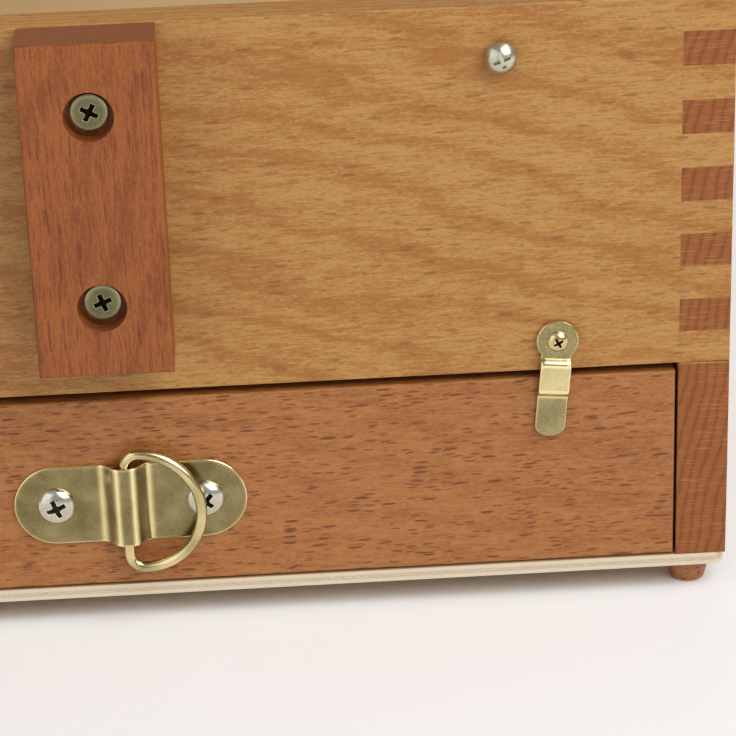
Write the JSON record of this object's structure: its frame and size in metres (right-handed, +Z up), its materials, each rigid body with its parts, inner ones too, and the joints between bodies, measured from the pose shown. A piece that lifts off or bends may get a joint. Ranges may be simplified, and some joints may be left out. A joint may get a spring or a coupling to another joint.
{
  "type": "table-top french box easel",
  "caption": "Finger-jointed wooden sketch box on small feet with a drawer, lift-out palette and a tilting lid that carries a sliding canvas mast and ledge.",
  "frame": {"origin": "middle of the whole easel's footprint, on the table that its four feet stand on", "axes": "+Z up, -Y towards the painter (drawer side), +X to the painter's right"},
  "size_m": [0.3341, 0.6124, 0.7188],
  "materials": {
    "golden_beech": "clear satin varnish",
    "red_beech": "clear satin varnish",
    "drawer_beech": "clear satin varnish",
    "plain_beech": "oiled",
    "plywood": "clear varnish",
    "brass": "satin",
    "yellow_zinc": "yellow zinc plate",
    "bright_steel": "nickel plate",
    "leather": "waxed"
  },
  "bodies": {
    "box": {"box_front_panel": "golden_beech", "box_left_side": "golden_beech", "box_right_side": "golden_beech", "box_back_panel": "golden_beech", "box_bottom": "plywood", "box_feet": "plain_beech", "front_strut": "red_beech", "front_strut_screws": "yellow_zinc", "inner_floor": "plywood", "compartment_dividers": "plain_beech", "palette_rails": "plain_beech", "box_hinge_leaves": "brass", "lid_hinge_pins": "brass", "box_hinge_screws": "bright_steel", "hook_studs": "bright_steel", "stay_studs": "brass", "carry_feet": "plain_beech", "handle_screws": "bright_steel", "handle_brackets": "brass", "carry_handle": "leather", "latch_screws": "bright_steel"},
    "lid": {"lid_left_rail": "golden_beech", "lid_right_rail": "golden_beech", "lid_front_rail": "golden_beech", "lid_back_rail": "golden_beech", "lid_panel": "plywood", "lid_hinge_leaves": "brass", "lid_hinge_screws": "bright_steel", "ledge_pins": "brass", "lid_stay_screws": "bright_steel", "hook_screws": "bright_steel", "mast_guides": "golden_beech"},
    "drawer": {"drawer_front": "drawer_beech", "drawer_sides": "plain_beech", "drawer_back": "plain_beech", "drawer_bottom": "plywood", "drawer_dividers": "plain_beech", "ring_plate": "brass", "ring_plate_screws": "bright_steel"},
    "drawer_ring": {"drawer_ring": "brass"},
    "drawer_latch_left": {"drawer_latch_left": "brass"},
    "drawer_latch_right": {"drawer_latch_right": "brass"},
    "palette": {"palette": "plywood"},
    "lid_stay_left": {"lid_stay_left": "brass"},
    "lid_stay_right": {"lid_stay_right": "brass"},
    "stay_wing_nut_left": {"stay_wing_nut_left": "brass"},
    "stay_wing_nut_right": {"stay_wing_nut_right": "brass"},
    "lid_hook_left": {"lid_hook_left": "brass"},
    "lid_hook_right": {"lid_hook_right": "brass"},
    "mast": {"mast": "red_beech"},
    "mast_thumb_screw": {"mast_thumb_screw": "brass"},
    "top_clamp": {"top_clamp": "red_beech", "top_clamp_strap": "brass"},
    "canvas_ledge": {"canvas_ledge": "red_beech"}
  },
  "joints": [
    {"name": "lid_hinge", "type": "hinge", "parent": "box", "child": "lid", "pos_m": [-0.00645, 0.13219, 0.14795], "axis": [-1, 0, 0], "range_deg": [-105, 15]},
    {"name": "mast_slide", "type": "slide", "parent": "lid", "child": "mast", "axis": [0, 0.2588, 0.9659], "range_m": [-0.17, 0.13]},
    {"name": "mast_thumb_screw_turn", "type": "hinge", "parent": "lid", "child": "mast_thumb_screw", "pos_m": [-0.00645, 0.23133, 0.48259], "axis": [0, -0.9659, 0.2588], "continuous": true},
    {"name": "top_clamp_slide", "type": "slide", "parent": "mast", "child": "top_clamp", "axis": [0, -0.2588, -0.9659], "range_m": [0, 0.12]},
    {"name": "ledge_hinge", "type": "hinge", "parent": "lid", "child": "canvas_ledge", "pos_m": [-0.00645, 0.14159, 0.16583], "axis": [1, 0, 0], "range_deg": [-90, 0]},
    {"name": "drawer_slide", "type": "slide", "parent": "box", "child": "drawer", "axis": [0, -1, 0], "range_m": [0, 0.3]},
    {"name": "drawer_ring_swing", "type": "hinge", "parent": "drawer", "child": "drawer_ring", "pos_m": [-0.00415, -0.29381, 0.0319], "axis": [0, 0, -1], "range_deg": [0, 160]},
    {"name": "palette_lift", "type": "slide", "parent": "box", "child": "palette", "axis": [0, 0, 1], "range_m": [0, 0.12]},
    {"name": "lid_stay_right_turn", "type": "hinge", "parent": "lid", "child": "lid_stay_right", "pos_m": [0.13855, 0.15368, 0.19858], "axis": [-1, 0, 0], "range_deg": [-7.5, 52.5]},
    {"name": "stay_wing_nut_right_turn", "type": "hinge", "parent": "box", "child": "stay_wing_nut_right", "pos_m": [0.13855, 0.08051, 0.12914], "axis": [1, 0, 0], "continuous": true},
    {"name": "lid_hook_right_turn", "type": "hinge", "parent": "lid", "child": "lid_hook_right", "pos_m": [0.08555, 0.25448, 0.55352], "axis": [0, -0.2588, -0.9659], "range_deg": [-55, 35]},
    {"name": "drawer_latch_right_turn", "type": "hinge", "parent": "box", "child": "drawer_latch_right", "pos_m": [0.09805, -0.29121, 0.0673], "axis": [0, 1, 0], "continuous": true},
    {"name": "lid_stay_left_turn", "type": "hinge", "parent": "lid", "child": "lid_stay_left", "pos_m": [-0.15145, 0.15368, 0.19858], "axis": [-1, 0, 0], "range_deg": [-7.5, 52.5]},
    {"name": "stay_wing_nut_left_turn", "type": "hinge", "parent": "box", "child": "stay_wing_nut_left", "pos_m": [-0.15145, 0.08051, 0.12914], "axis": [-1, 0, 0], "continuous": true},
    {"name": "lid_hook_left_turn", "type": "hinge", "parent": "lid", "child": "lid_hook_left", "pos_m": [-0.09845, 0.25448, 0.55352], "axis": [0, 0.2588, 0.9659], "range_deg": [-55, 35]},
    {"name": "drawer_latch_left_turn", "type": "hinge", "parent": "box", "child": "drawer_latch_left", "pos_m": [-0.11095, -0.29121, 0.0673], "axis": [0, -1, 0], "continuous": true}
  ],
  "couplings": [
    {"joint": "lid_stay_right_turn", "follows": "lid_hinge", "ratio": -0.5},
    {"joint": "lid_stay_left_turn", "follows": "lid_hinge", "ratio": -0.5}
  ]
}
